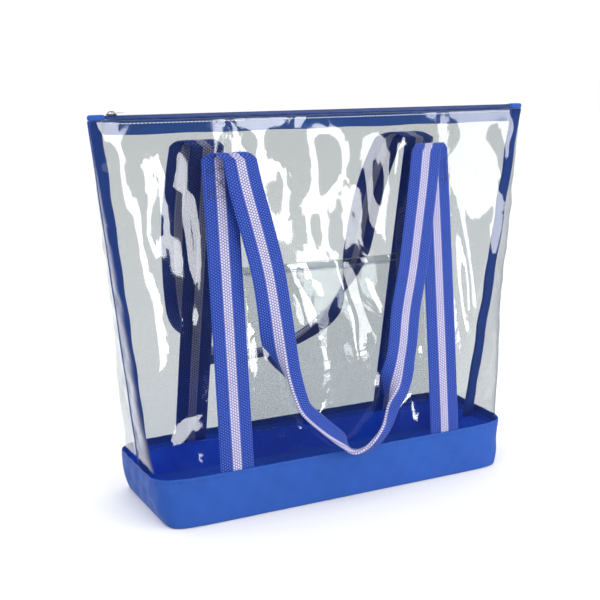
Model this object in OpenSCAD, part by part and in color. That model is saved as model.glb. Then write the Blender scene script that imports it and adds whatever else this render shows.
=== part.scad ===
// Clear zipped beach tote: film panels on a boxed fabric base, with two striped webbing handles.
// Origin: middle of the underside. +X to the right seen from the front, front is -Y, +Z up.

/* [Bag] */
// Width across the zipped top, seam to seam
top_w = 524; // [480:2:560]
// Height of the film panels above the floor
bag_h = 412; // [380:2:440]
// Width lost on each side between the top and the floor
flare = 51; // [45:1:56]
// Extra tuck of the boxed corners at the floor
tuck = 7; // [5:1:9]
// Depth of the bottom, front to back
base_d = 134; // [120:2:150]
// Depth of the narrow mouth under the zipper
mouth_d = 14; // [13:1:18]
// Height of the fabric base
rim_h = 52; // [46:1:60]
// Thickness of the clear film
film_t = 0.8; // [0.6:0.1:1]

/* [Handles] */
// Width of the webbing
web_w = 38; // [34:1:40]
// Thickness of the webbing
web_t = 1.6; // [1.4:0.1:1.8]
// Distance between the middles of the two legs of a handle
leg_span = 262; // [250:2:274]
// Height where a leg leaves the panel and curls over
leg_top = 371; // [366:1:374]
// How much higher the back handle is sewn
back_rise = 9; // [0:1:9]
// Radius of the curl at the top of a leg
curl_r = 6.3; // [6:0.1:7]

/* [Pocket] */
// Height of the pocket's mouth
pocket_h = 260; // [240:2:264]
// How far the middle of the mouth stands out
pocket_gape = 6; // [5:0.5:6.5]

/* [Zipper] */
// Length of the open chain between the end tabs
chain_l = 490; // [460:2:492]
// Rise of the chain above the top of the panels
chain_rise = 2.6; // [2:0.1:3]
// Length of the slider
slider_l = 11; // [9:1:12]
// Length of the pull, from its pin to its tip
pull_l = 13; // [12:1:16]

/* [Hidden] */
$fn = 32;

FRONT = -1;
BACK = 1;
LEFT = -1;
RIGHT = 1;

royal = "#3250cd";
cloth_blue = "#3764c3";
navy = "#1c3787";
binding_blue = "#1c37a5";
clear_film = [0.85, 0.9, 0.92, 0.35];
thread_blue = "#16308a";

base_gap = 3.0;        // base fabric stands this far outside the film's middle surface
base_t = 1.2;          // base fabric, folded double
floor_t = 1.6;         // bottom fabric
tuck_in = 14;          // film and webbing reach this far down inside the base
bind_w = 13;           // side binding, across
bind_t = 2.0;
facing_w = 14;         // tape under the film along the mouth
tape_t = 1.0;          // zipper tape
coil_gap = 1.2;        // between the two halves of the chain
coil_w = 1.6;
coil_h = 1.8;
fit_gap = 0.35;        // slider to chain and tape
web_in = 0.9;          // inner face of a leg, outside the film's middle surface
box_side = 30;         // sewn box with a cross
thread_t = 0.5;
first_x = -238;        // middle of the slider with the zipper shut
around = 80;           // points round a whole section

// ---- the shape of the bag ----

function level(z) = max(0, min(1, z / bag_h));

function half_w(z) = top_w / 2 - flare * (1 - level(z)) - tuck * exp(-level(z) / 0.05);

function half_d(z) = base_d / 2 - (base_d - mouth_d) / 2 * pow(level(z), 1.08);

// 2 would be an ellipse; a large number is nearly a rectangle
function squareness(z) = 3 + 4.9 * pow(1 - level(z), 0.7) + 7.2 * exp(-level(z) / 0.08);

// Crowds evenly spaced directions towards the four corners
function spread(q) = q + 10 * sin(4 * q);

// Point of the section at height z in direction q, pushed out by d
function skin(q, z, d) =
    let (n = squareness(z), c = cos(spread(q)), s = sin(spread(q)), a = half_w(z), b = half_d(z),
        k = pow(pow(abs(c), n) + pow(abs(s), n), -1 / n),
        gx = sign(c) * pow(abs(c * k), n - 1) / a,
        gy = sign(s) * pow(abs(s * k), n - 1) / b)
    [a * c * k, b * s * k, z] + d * [gx, gy, 0] / norm([gx, gy]);

// Point of the front or back face at a given x, pushed out by d
function face_y(x, z, d) =
    half_d(z) * pow(1 - pow(abs(x) / half_w(z), squareness(z)), 1 / squareness(z)) + d;

function on_face(side, x, z, d) = [x, side * face_y(x, z, d), z];

function steps(low, high, n) = [for (i = [0 : n]) low + (high - low) * i / n];

// Solid through a list of rings, each seen anticlockwise from the far end
module loft(rings) {
    m = len(rings[0]);
    last = len(rings) - 1;
    lower = [for (j = [0 : last - 1], i = [0 : m - 1])
        [j * m + i, (j + 1) * m + i, (j + 1) * m + (i + 1) % m]];
    upper = [for (j = [0 : last - 1], i = [0 : m - 1])
        [j * m + i, (j + 1) * m + (i + 1) % m, j * m + (i + 1) % m]];
    near_cap = [for (i = [0 : m - 1]) i];
    far_cap = [for (i = [m - 1 : -1 : 0]) last * m + i];
    polyhedron(points = [for (r = rings, p = r) p], faces = concat(lower, upper, [near_cap, far_cap]));
}

// Ring of a curved strip of the front or back, from direction q0 to q1 and d0 to d1 outside
function strip_ring(z, q0, q1, d0, d1, n) = concat(
    [for (q = steps(q0, q1, n)) skin(q, z, d1)],
    [for (q = steps(q1, q0, n)) skin(q, z, d0)]);

// Angle that keeps a strip's end about the distance y from the side seam
function seam_angle(z, y) = asin(min(0.9, y / half_d(z))) / 1.7;

// Strip of the bag's wall on one side, between two heights, stopping short of the side seams
module wall_strip(side, z0, z1, d0, d1, seam_y, nz) {
    turn = side == FRONT ? -180 : 0;
    loft([for (z = steps(z0, z1, nz))
        strip_ring(z, turn + seam_angle(z, seam_y), turn + 180 - seam_angle(z, seam_y),
            d0, d1, around / 2)]);
}

// ---- base ----

module base_shell() {
    out_d = base_gap + base_t;
    walls = [3, 8, 16, 28, 40, rim_h];
    color(cloth_blue) loft(concat(
        [base_ring(0, out_d - 1.6), base_ring(1, out_d - 0.5)],
        [for (z = walls) base_ring(z, out_d)],
        [for (i = [len(walls) - 1 : -1 : 0]) base_ring(walls[i], base_gap)],
        [base_ring(floor_t, base_gap)]));
}

function base_ring(z, d) = [for (i = [0 : around - 1]) skin(360 * i / around, z, d)];

module base_hem_stitching() {
    z = rim_h - 4;
    out_d = base_gap + base_t;
    color(thread_blue) for (side = [FRONT, BACK])
        wall_strip(side, z - thread_t / 2, z + thread_t / 2, out_d + 0.05, out_d + thread_t, 0.4, 1);
}

// ---- film ----

module panel(side) {
    color(clear_film)
        wall_strip(side, rim_h - tuck_in, bag_h, -film_t / 2, film_t / 2, 1.8, 12);
}

module seam_binding(side) {
    color(binding_blue) loft([for (z = steps(rim_h - tuck_in, bag_h - 1, 12))
        let (x1 = side * (half_w(z) + 0.4), x0 = x1 - side * bind_w,
            low = min(x0, x1), high = max(x0, x1), h = bind_t / 2)
        [[high, h, z], [low, h, z], [low, -h, z], [high, -h, z]]]);
}

// Cross-section of a thin strip standing on the face at x, for lofting along +X
function bar_ring(side, x, z0, z1, d0, d1) =
    let (a = on_face(side, x, z0, d0), b = on_face(side, x, z1, d0),
        c = on_face(side, x, z1, d1), d = on_face(side, x, z0, d1))
    side == FRONT ? [a, b, c, d] : [d, c, b, a];

module face_bar(side, x0, x1, z0, z1, d0, d1, n) {
    loft([for (x = steps(x0, x1, n)) bar_ring(side, x, z0, z1, d0, d1)]);
}

module top_facing(side) {
    color(binding_blue)
        face_bar(side, -228, 228, bag_h - facing_w, bag_h - 0.5, -film_t / 2 - 1.2, -film_t / 2 - 0.2, 24);
}

module top_stitching(side) {
    color(thread_blue)
        face_bar(side, -240, 240, bag_h - 3, bag_h - 2.5, film_t / 2 + 0.05, film_t / 2 + thread_t, 24);
}

// ---- pocket ----

function pocket_out(x, z) =
    let (edge = leg_span / 2 - web_w / 2, rise = max(0, z - 100) / (pocket_h - 100))
    1.2 + pocket_gape * pow(cos(90 * x / edge), 2) * pow(rise, 1.5);

module front_pocket() {
    edge = leg_span / 2 - web_w / 2 - 0.6;
    xs = steps(-edge, edge, 20);
    back_xs = steps(edge, -edge, 20);
    color(clear_film) loft([for (z = steps(rim_h - tuck_in, pocket_h, 8)) concat(
        [for (x = xs) on_face(FRONT, x, z, pocket_out(x, z) + film_t * 0.8)],
        [for (x = back_xs) on_face(FRONT, x, z, pocket_out(x, z))])]);
}

module pocket_stitching() {
    edge = leg_span / 2 - web_w / 2 - 0.6;
    z = pocket_h - 7;
    color(thread_blue) loft([for (x = steps(-edge, edge, 20))
        let (d = pocket_out(x, z) + film_t * 0.8 + 0.15)
        bar_ring(FRONT, x, z, z + thread_t, d, d + thread_t)]);
}

// ---- zipper ----

chain_z = bag_h + chain_rise;

module zipper_tape(side) {
    edge_y = coil_gap / 2 + coil_w + 0.1;
    color(navy) loft([for (x = steps(-chain_l / 2, chain_l / 2, 24))
        let (e = [x, side * max(edge_y + 0.3, face_y(x, bag_h, -0.2)), bag_h + 0.2],
            f = [x, side * edge_y, chain_z], up = [0, 0, tape_t])
        side == FRONT ? [e + up, e, f, f + up] : [e, e + up, f + up, f]]);
}

module zipper_coil(side) {
    y = side == FRONT ? -coil_gap / 2 - coil_w : coil_gap / 2;
    color(navy) translate([-chain_l / 2, y, chain_z - 0.3])
        cube([chain_l, coil_w, coil_h]);
}

module zipper_tab(side) {
    length = top_w / 2 - chain_l / 2 - 0.4;
    middle = side * (top_w / 2 - length / 2);
    color(cloth_blue) translate([middle, 0, bag_h + 0.2])
        rotate([90, 0, 90]) linear_extrude(height = length, center = true)
            polygon([[-3.4, 0], [3.4, 0], [3, 3], [2, 4.6], [-2, 4.6], [-3, 3]]);
}

plate_t = 1.2;
top_plate_z = chain_z - 0.3 + coil_h + fit_gap;
low_plate_z = chain_z - 0.3 - fit_gap - plate_t;
pin_z = top_plate_z + plate_t + 1.1;

module zipper_slider() {
    color("#2a2b2f") translate([first_x, 0, 0]) {
        for (z = [top_plate_z, low_plate_z])
            translate([0, 0, z]) slider_plate(z == top_plate_z ? 7.4 : 4.2);
        translate([slider_l / 2 - 2.4, -0.4, low_plate_z + 0.1])
            cube([1.6, 0.8, top_plate_z - low_plate_z + 0.2]);
        crown();
    }
}

module slider_plate(width) {
    linear_extrude(height = plate_t)
        polygon([[-slider_l / 2, -width * 0.36], [slider_l / 2 - 2, -width / 2],
            [slider_l / 2, -width * 0.38], [slider_l / 2, width * 0.38],
            [slider_l / 2 - 2, width / 2], [-slider_l / 2, width * 0.36]]);
}

// The arch that holds the pull's pin
module crown() {
    foot_z = top_plate_z + plate_t - 0.1;
    translate([0, 0.9, foot_z]) rotate([90, 0, 0]) linear_extrude(height = 1.8)
        difference() {
            polygon([[-4.2, 0], [-4.2, 1.6], [-2.8, 3], [2.8, 3], [4.2, 1.6], [4.2, 0]]);
            polygon([[-2.9, -1], [-2.9, 1.4], [-2.2, 2.1], [2.2, 2.1], [2.9, 1.4], [2.9, -1]]);
        }
}

module zipper_pull() {
    color("#a9adb4") translate([first_x, 0, pin_z]) {
        rotate([90, 0, 0]) cylinder(r = 0.55, h = 5.2, center = true);
        for (y = [-2.6, 1.6])
            translate([-0.6, y, -0.5]) cube([7.2, 1, 1]);
        translate([5.6, 0, -0.5]) linear_extrude(height = 1)
            polygon([[0, -2.6], [pull_l - 7, -2.2], [pull_l - 5.6, -1.2],
                [pull_l - 5.6, 1.2], [pull_l - 7, 2.2], [0, 2.6]]);
    }
}

// ---- handles ----

leg_in = web_in;
leg_mid = web_in + web_t / 2;

// Ring of webbing: middle c, across w, outward face n
function web_ring(c, w, n, width) =
    let (a = w * width / 2, b = n * web_t / 2)
    [c + a + b, c - a + b, c - a - b, c + a - b];

// Height where the legs of one side leave the panel
function top_of(side) = leg_top + (side == BACK ? back_rise : 0);

// A leg sewn to the panel, ending in a curl that turns it over to hang down
module leg(side, x, shift) {
    n_side = [0, side, 0];
    across = [side, 0, 0];
    top_z = top_of(side);
    top_y = face_y(x, top_z, leg_mid);
    flat = [for (z = steps(rim_h - tuck_in + 2, top_z, 9))
        web_ring([x, side * face_y(x, z, leg_mid), z], across, n_side, web_w)];
    curl = [for (turn = steps(15, 180, 11))
        let (c = [x + shift * turn / 180, side * (top_y + curl_r * (1 - cos(turn))),
                top_z + curl_r * sin(turn)],
            n = [0, side * cos(turn), sin(turn)])
        web_ring(c, across, n, web_w)];
    color(royal) loft(concat(flat, curl));
}

// Each stop of a loop: x, distance outside the face, height, turn of the webbing.
// Both ends hang straight down, so that they turn about one axis with room above them.
front_route = [
    [-113, 14.2, 369.7, 0], [-108, 14.3, 342, 0], [-98, 14.3, 299, 0], [-89, 14.3, 257, 0],
    [-82, 14.3, 210, 0], [-75, 14.6, 168, 3], [-67, 17, 134, 26], [-52, 22, 105, 66],
    [-26, 24, 75, 80], [4, 24, 58, 88], [34, 24, 72, 92], [54, 22, 92, 86], [63, 18, 114, 48],
    [67, 15, 138, 8], [71.5, 14.3, 165, 0], [77, 14.3, 199, 0], [88, 14.3, 242, 0],
    [97, 14.3, 285, 0], [107, 14.3, 335, 0], [113, 14.2, 369.7, 0]];

back_route = [
    [-149, 14.3, 369.7 + back_rise, 0], [-152, 14.3, 346, 0], [-154, 14.3, 302, 0],
    [-151, 14.3, 252, 0], [-145, 15, 212, 10], [-134, 19, 178, 45], [-113, 23, 152, 78],
    [-82, 24, 139, 84], [-46, 24, 134, 84], [-12, 24, 138, 84], [20, 23, 154, 78],
    [46, 20, 181, 60], [62, 16, 213, 26], [72, 14.3, 250, 0], [76, 14.3, 288, 0],
    [81, 14.3, 320, 0], [88, 14.3, 349, 0], [98, 14.0, 369.7 + back_rise, 0]];

function stop_point(side, s) = concat(on_face(side, s[0], s[2], s[1]), [s[3]]);

// Smooth curve through four neighbouring stops
function between(a, b, c, d, t) = 0.5 * (2 * b + (c - a) * t
    + (2 * a - 5 * b + 4 * c - d) * t * t + (3 * b - a - 3 * c + d) * t * t * t);

function smooth(p, n) = let (last = len(p) - 1) concat(
    [for (i = [0 : last - 1], k = [0 : n - 1])
        between(p[max(0, i - 1)], p[i], p[i + 1], p[min(last, i + 2)], k / n)],
    [p[last]]);

function unit(v) = v / norm(v);

function head(v) = [v[0], v[1], v[2]];

module handle_loop(side, route) {
    p = smooth([for (s = route) stop_point(side, s)], 3);
    last = len(p) - 1;
    rings = [for (i = [0 : last])
        let (ahead = unit(head(p[min(last, i + 1)]) - head(p[max(0, i - 1)])),
            hang = [0, 0, i < last / 2 ? -1 : 1],
            share = min(1, min(i, last - i) / 4),
            t = unit(ahead * share + hang * (1 - share)),
            w0 = unit(cross([0, side, 0], t)),
            n0 = cross(t, w0),
            turn = side * p[i][3],
            w = w0 * cos(turn) + n0 * sin(turn),
            n = n0 * cos(turn) - w0 * sin(turn))
        web_ring(head(p[i]), w, n, web_w)];
    color(royal) loft(rings);
}

// Sewn box with a cross on the webbing
module box_stitch(side, x) {
    z = top_of(side) - 24;
    lean = atan((face_y(x, z - 10, 0) - face_y(x, z + 10, 0)) / 20);
    half = box_side / 2 - 1;
    color(thread_blue)
        translate([x, side * (face_y(x, z, web_in + web_t) + 0.12), z])
            rotate([side * lean, 0, 0]) {
                for (s = [-1, 1]) {
                    stitch_bar(side, 0, s * half, 2 * half, 0);
                    stitch_bar(side, s * half, 0, 2 * half, 90);
                    stitch_bar(side, 0, 0, 2 * half * sqrt(2) - 1, s * 45);
                }
            }
}

module stitch_bar(side, x, z, length, turn) {
    translate([x, side * thread_t / 2, z]) rotate([0, turn, 0])
        cube([length, thread_t, thread_t * 1.6], center = true);
}

// ---- label ----

module care_label() {
    z = 293;
    low = -half_w(z) + 1.5;
    color("white") translate([low, bind_t / 2 + 0.3, z])
        cube([22, 0.4, 13]);
}

leg_x = leg_span / 2;

base_shell();
panel(FRONT);  // front_panel
panel(BACK);  // back_panel
seam_binding(LEFT);  // left_seam_binding
seam_binding(RIGHT);  // right_seam_binding
top_facing(FRONT);  // front_top_facing
top_facing(BACK);  // back_top_facing
zipper_tape(FRONT);  // front_zipper_tape
zipper_tape(BACK);  // back_zipper_tape
zipper_coil(FRONT);  // front_zipper_coil
zipper_coil(BACK);  // back_zipper_coil
zipper_tab(LEFT);  // left_zipper_tab
zipper_tab(RIGHT);  // right_zipper_tab
zipper_slider();
zipper_pull();
leg(FRONT, -leg_x, 18);  // front_left_leg
leg(FRONT, leg_x, -18);  // front_right_leg
leg(BACK, -leg_x, -18);  // back_left_leg
leg(BACK, leg_x, -33);  // back_right_leg
handle_loop(FRONT, front_route);  // front_handle_loop
handle_loop(BACK, back_route);  // back_handle_loop
box_stitch(FRONT, -leg_x);  // front_left_box_stitch
box_stitch(FRONT, leg_x);  // front_right_box_stitch
box_stitch(BACK, -leg_x);  // back_left_box_stitch
box_stitch(BACK, leg_x);  // back_right_box_stitch
front_pocket();
pocket_stitching();
care_label();
base_hem_stitching();
top_stitching(FRONT);  // front_top_stitching
top_stitching(BACK);  // back_top_stitching
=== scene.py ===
import math

import bpy
import numpy as np
from bpy.props import FloatProperty, FloatVectorProperty, PointerProperty
from bpy.types import Operator, Panel, PropertyGroup
from mathutils import Matrix, Vector


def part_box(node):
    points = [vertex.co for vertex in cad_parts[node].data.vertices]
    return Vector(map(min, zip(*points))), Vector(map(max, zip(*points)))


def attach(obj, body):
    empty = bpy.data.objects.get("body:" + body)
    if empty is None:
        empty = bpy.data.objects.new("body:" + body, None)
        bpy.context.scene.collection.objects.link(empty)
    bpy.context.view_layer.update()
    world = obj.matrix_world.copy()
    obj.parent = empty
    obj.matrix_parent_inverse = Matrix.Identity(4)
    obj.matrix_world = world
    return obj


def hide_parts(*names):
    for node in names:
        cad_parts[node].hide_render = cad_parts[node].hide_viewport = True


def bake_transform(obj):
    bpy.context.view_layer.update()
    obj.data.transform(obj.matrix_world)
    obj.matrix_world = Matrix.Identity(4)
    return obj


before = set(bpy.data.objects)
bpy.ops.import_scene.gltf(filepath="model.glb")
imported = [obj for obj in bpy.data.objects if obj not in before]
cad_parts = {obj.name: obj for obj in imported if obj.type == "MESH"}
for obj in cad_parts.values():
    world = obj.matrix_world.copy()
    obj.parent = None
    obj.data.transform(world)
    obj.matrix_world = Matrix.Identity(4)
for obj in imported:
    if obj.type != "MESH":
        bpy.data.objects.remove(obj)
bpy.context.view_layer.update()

bl_info = {
    "name": "Clear Beach Bag",
    "version": (1, 0, 0),
    "blender": (4, 5, 0),
    "location": "View3D > Sidebar > Beach Bag",
    "description": "Builds a clear zipped beach bag with webbing handles around its frame",
    "category": "Object",
}

BODY = "bag_body"
FRONT, BACK = -1, 1
LEFT, RIGHT = -1, 1
TAU = 2 * math.pi
MM = 0.001
LEG_TOP = {FRONT: 0.371, BACK: 0.380}     # where a leg leaves the panel
CURL_R = 0.0063           # radius of the webbing's turn above a leg
LEG_IN = 0.0009           # inner face of a leg, outside the film
LEG_FOOT = 0.040          # legs and film reach this far down inside the base
LEG_X = 0.131             # middle of a leg, left and right of the bag's middle
FLAT_HALF = 0.021         # film lies flat this far each side of a leg's middle
BOX_HALF = 0.0140         # half a box stitch
BOX_DROP = 0.024          # its middle, below the top of the leg
FOLD_TURN = math.radians(165)     # webbing folded along its stripe
FOLD_RUN = 0.0042         # width of webbing that the fold takes up
POCKET_TOP = 0.260
POCKET_HALF = 0.112
POCKET_FROM = 0.100       # the pocket gapes above this height
POCKET_OUT = 0.0013       # inner face of the pocket, outside the film
POCKET_GAPE = 0.006
BASE_GAP = 0.0030         # base cloth stands this far outside the film
BASE_T = 0.0012
FLOOR_T = 0.0016
# From this coordinate on, the base is given a brighter colour inside: painted light for its dim inside.
INSIDE_LIGHT_FROM = 0.1105      # the base's own coordinate passes this where its inside begins
CHAIN_HALF = 0.245        # half the open chain
CHAIN_RISE = 0.0026
SLIDER_X = -0.238
STITCH_LEN = 0.0029
STITCH_STEP = 0.0040
HEM_DROP = 0.004          # hem stitches below the rim of the base
COIL_PITCH = 0.0017
FILM_HEAD_ON = 0.045      # share of light that the film mirrors head on
FILM_GRAZING = 0.80       # and how much more at a grazing angle
COLUMN = 0.0025           # width of a column of the webbing's weave
RIB = 0.0030              # its ribs, along the webbing
CAMERA_AT = (-0.6086, -1.0825, 0.5172)
CAMERA_TURNS = (28.26, 14.06, 0.92)     # yaw, pitch and roll in degrees
CAMERA_LENS, SENSOR = 69.2, 36.0
AIM = (0.0, 0.0, 0.2)     # point that the lights face

# Stops of the loops: x, distance outside the panel, height, turn of the webbing in degrees, and how
# far the outer part is folded under along the stripe.
FRONT_ROUTE = [
    (-113, 14.2, 370.95, 0, 0), (-108, 14.3, 342, 0, 0), (-98, 14.3, 299, 0, 0),
    (-89, 14.3, 257, 0, 0), (-83, 14.3, 210, 0, 0.05), (-79, 14.6, 172, 2, 0.3),
    (-76, 16, 145, 4, 0.65), (-70.5, 19, 121, 12, 0.95), (-62, 22, 102, 22, 1), (-38, 25, 79, 26, 1),
    (-17, 26, 64.5, 42, 1), (-1, 26, 57.5, 88, 1), (17, 25, 64, 130, 1), (36, 22, 79, 146, 1),
    (47, 18.5, 101, 140, 0.85),
    (59, 15.5, 121, 50, 0.3), (65.5, 14.4, 140, 6, 0), (71.5, 14.3, 165, 0, 0),
    (77, 14.3, 199, 0, 0), (88, 14.3, 242, 0, 0), (97, 14.3, 285, 0, 0), (107, 14.3, 335, 0, 0),
    (113, 14.2, 370.95, 0, 0)]
BACK_ROUTE = [
    (-149, 14.3, 379.95, 0, 0), (-152, 14.3, 346, 0, 0), (-154, 14.3, 302, 0, 0),
    (-151, 14.3, 252, 0, 0), (-145, 15, 212, 10, 0), (-134, 19, 178, 45, 0),
    (-113, 23, 152, 82, 0.4), (-82, 24, 139, 84, 0.8), (-46, 24, 134, 80, 0.9),
    (-12, 24, 138, 76, 0.9), (20, 23, 154, 70, 0.8), (46, 20, 181, 56, 0.5), (62, 16, 211, 30, 0.2),
    (72, 14.3, 248, 6, 0), (76, 14.3, 288, 0, 0), (81, 14.3, 320, 0, 0),
    (88, 14.3, 349, 0, 0), (98, 14.0, 379.95, 0, 0)]

# (name, side, middle of the leg, sideways shift of its curl)
LEGS = [("front_left", FRONT, -LEG_X, 0.018), ("front_right", FRONT, LEG_X, -0.018),
        ("back_left", BACK, -LEG_X, -0.018), ("back_right", BACK, LEG_X, -0.033)]

# Creases pressed into the film: place across, height, lean, half length, half width, rise
FRONT_CREASES = [
    (-0.215, 0.300, 1.35, 0.075, 0.010, 1.3), (-0.190, 0.215, 1.75, 0.080, 0.012, -1.2),
    (-0.222, 0.140, 1.20, 0.060, 0.009, 1.0), (-0.170, 0.345, 0.60, 0.045, 0.008, 1.0),
    (-0.060, 0.330, 1.30, 0.060, 0.010, 1.3), (-0.030, 0.290, 1.85, 0.050, 0.008, -1.1),
    (0.010, 0.350, 0.80, 0.050, 0.009, 1.0), (0.040, 0.310, 1.60, 0.060, 0.012, 1.3),
    (0.075, 0.350, 1.20, 0.045, 0.009, -1.1), (0.185, 0.330, 1.75, 0.060, 0.010, 1.4),
    (0.210, 0.260, 1.30, 0.080, 0.011, -1.3), (0.178, 0.190, 1.60, 0.070, 0.010, 1.2),
    (0.200, 0.110, 1.95, 0.050, 0.009, 1.1), (-0.180, 0.090, 0.50, 0.040, 0.009, 1.0),
    (0.045, 0.112, 1.30, 0.050, 0.005, 1.9), (0.072, 0.095, 0.80, 0.035, 0.004, -1.8),
    (0.020, 0.150, 1.75, 0.060, 0.006, 1.8), (-0.055, 0.082, 0.35, 0.030, 0.004, 1.5),
    (-0.040, 0.098, 0.90, 0.022, 0.003, -1.4)]
BACK_CREASES = [
    (-0.200, 0.330, 1.10, 0.060, 0.010, 1.4), (-0.165, 0.240, 1.90, 0.090, 0.013, -1.5),
    (-0.215, 0.150, 1.45, 0.070, 0.011, 1.2), (-0.070, 0.340, 0.75, 0.060, 0.010, 1.3),
    (-0.040, 0.230, 1.60, 0.100, 0.016, 1.7), (0.015, 0.170, 1.20, 0.080, 0.012, -1.5),
    (0.050, 0.300, 1.80, 0.080, 0.012, 1.5), (0.070, 0.120, 0.70, 0.060, 0.010, 1.3),
    (-0.020, 0.100, 2.30, 0.050, 0.009, -1.2), (0.185, 0.300, 1.30, 0.080, 0.011, 1.5),
    (0.210, 0.190, 1.75, 0.070, 0.010, -1.4), (0.180, 0.110, 1.10, 0.050, 0.010, 1.2)]

# Soft lights that show in the film: name, place, width, height, power
BOXES = [("box_right", (1.60, -1.60, 0.72), 0.46, 1.4, 12.0),
         ("box_middle", (0.95, -2.10, 0.72), 0.26, 1.4, 9.0),
         ("box_left", (0.10, -2.30, 0.72), 0.50, 1.4, 15.0),
         ("box_side", (-1.9, 1.1, 0.50), 0.25, 1.0, 5.0)]


# ---- settings that a user may change ----

def length(name, text, value):
    return FloatProperty(name=name, description=text, default=value, min=0.0, unit="LENGTH", precision=4)


def colour(name, text, value):
    return FloatVectorProperty(name=name, description=text, default=value, min=0.0, max=1.0,
                               subtype="COLOR", size=3)


class BagSizes(PropertyGroup):
    """Sizes of the bag, the same as the frame's."""
    top_width: length("Top width", "Across the zipped top, seam to seam", 0.524)
    height: length("Height", "From the floor to the top of the film", 0.412)
    flare: length("Flare", "Width lost on each side between the top and the floor", 0.051)
    tuck: length("Corner tuck", "Extra tuck of the boxed corners at the floor", 0.007)
    base_depth: length("Base depth", "Depth of the bottom, front to back", 0.134)
    mouth_depth: length("Mouth depth", "Depth of the mouth under the zipper", 0.014)
    rim_height: length("Base height", "Height of the fabric base", 0.052)
    film_thickness: length("Film", "Thickness of the clear film", 0.0005)
    webbing_width: length("Webbing width", "Width of the handles' webbing", 0.038)
    webbing_thickness: length("Webbing thickness", "Thickness of the handles' webbing", 0.0016)
    stripe_width: length("Stripe width", "Width of the pale stripe along the webbing", 0.0106)
    ripple: length("Ripple", "Height of the soft waves in the film", 0.0013)
    crease: length("Crease", "Height of the creases pressed into the film", 0.0010)


class BagColours(PropertyGroup):
    """Colours of the bag's materials."""
    webbing: colour("Webbing", "Blue of the handles", (0.007, 0.026, 0.36))
    webbing_high: colour("Webbing dots", "Lit threads of the webbing", (0.045, 0.15, 0.70))
    stripe: colour("Stripe", "Pale stripe along the webbing", (0.74, 0.72, 0.90))
    stripe_mark: colour("Stripe marks", "Dark gaps woven into the stripe", (0.11, 0.10, 0.32))
    cloth: colour("Base cloth", "Blue of the fabric base", (0.014, 0.088, 0.43))
    binding: colour("Binding", "Tape on the side seams", (0.004, 0.044, 0.27))
    facing: colour("Facing", "Tape under the film along the mouth", (0.002, 0.060, 0.29))
    zip_tape: colour("Zipper tape", "Knitted tape of the zipper", (0.004, 0.034, 0.17))
    zip_coil: colour("Zipper coil", "Nylon coil of the zipper", (0.008, 0.024, 0.14))
    thread: colour("Thread", "Sewing thread", (0.010, 0.035, 0.27))
    # Painted highlight: near-white thread stands in for the glints where the film puckers along the
    # mouth's stitches.
    mouth_glint_thread: colour("Mouth thread", "Shiny stitches along the mouth", (0.75, 0.82, 0.95))
    # Painted light: a far brighter blue than the cloth, put on the base's inside in place of light
    # reaching it through the film.
    inside_painted_light: colour("Base lining", "Coated inside of the fabric base", (0.020, 0.170, 0.95))
    film: colour("Film", "What the clear film lets through", (0.880, 0.893, 0.896))
    slider: colour("Slider", "Painted zipper slider", (0.012, 0.012, 0.014))
    pull: colour("Pull", "Bright metal pull", (0.72, 0.73, 0.75))
    label: colour("Label", "Care label ribbon", (0.98, 0.98, 0.98))
    floor: colour("Floor", "Plain floor", (0.93, 0.93, 0.93))


def sizes():
    return bpy.context.scene.beach_bag_sizes


def colours():
    return bpy.context.scene.beach_bag_colours


# ---- meshes from arrays ----

def grid_faces(rows, columns, wrap=False):
    """Quads of a grid of points stored row by row; wrap joins the last column to the first."""
    across = columns if wrap else columns - 1
    i, j = np.meshgrid(np.arange(rows - 1), np.arange(across), indexing="ij")
    k = (j + 1) % columns
    return np.stack([i * columns + j, i * columns + k, (i + 1) * columns + k, (i + 1) * columns + j],
                    axis=-1).reshape(-1, 4)


def make_mesh(name, points, quads, uv=None, triangles=None):
    """A mesh object from arrays of points and faces; uv is one pair for each point."""
    points = np.asarray(points, float).reshape(-1, 3)
    parts = [np.asarray(f, int).reshape(-1, n) for f, n in ((quads, 4), (triangles, 3))
             if f is not None]
    loops = np.concatenate([f.ravel() for f in parts])
    totals = np.concatenate([np.full(len(f), f.shape[1]) for f in parts])
    starts = np.concatenate([[0], np.cumsum(totals)[:-1]])
    mesh = bpy.data.meshes.new(name)
    mesh.vertices.add(len(points))
    mesh.vertices.foreach_set("co", points.astype(np.float32).ravel())
    mesh.loops.add(len(loops))
    mesh.loops.foreach_set("vertex_index", loops.astype(np.int32))
    mesh.polygons.add(len(totals))
    mesh.polygons.foreach_set("loop_start", starts.astype(np.int32))
    mesh.polygons.foreach_set("loop_total", totals.astype(np.int32))
    mesh.polygons.foreach_set("use_smooth", np.full(len(totals), True))
    if uv is not None:
        layer = mesh.uv_layers.new(name="weave")
        corners = np.asarray(uv, float).reshape(-1, 2)[loops]
        layer.data.foreach_set("uv", corners.astype(np.float32).ravel())
    mesh.update(calc_edges=True)
    if mesh.validate():
        raise RuntimeError(f"{name} had faces that aren't valid")
    made = bpy.data.objects.new(name, mesh)
    bpy.context.scene.collection.objects.link(made)
    return made


def closed_tube(name, rings, uv=None):
    """A closed solid through rings of points (rows, around, 3), with a fan at each end.
    Rings run anticlockwise seen from the far end."""
    rows, around, _ = rings.shape
    points = np.concatenate([rings.reshape(-1, 3), rings[:1].mean(1), rings[-1:].mean(1)])
    first, last = rows * around, rows * around + 1
    i = np.arange(around)
    k = (i + 1) % around
    near = np.stack([np.full(around, first), k, i], axis=-1)
    far = np.stack([np.full(around, last), (rows - 1) * around + i, (rows - 1) * around + k], axis=-1)
    if uv is not None:
        uv = np.concatenate([uv.reshape(-1, 2), uv[:1].mean(1), uv[-1:].mean(1)])
    return make_mesh(name, points, grid_faces(rows, around, True), uv, np.concatenate([near, far]))


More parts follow.
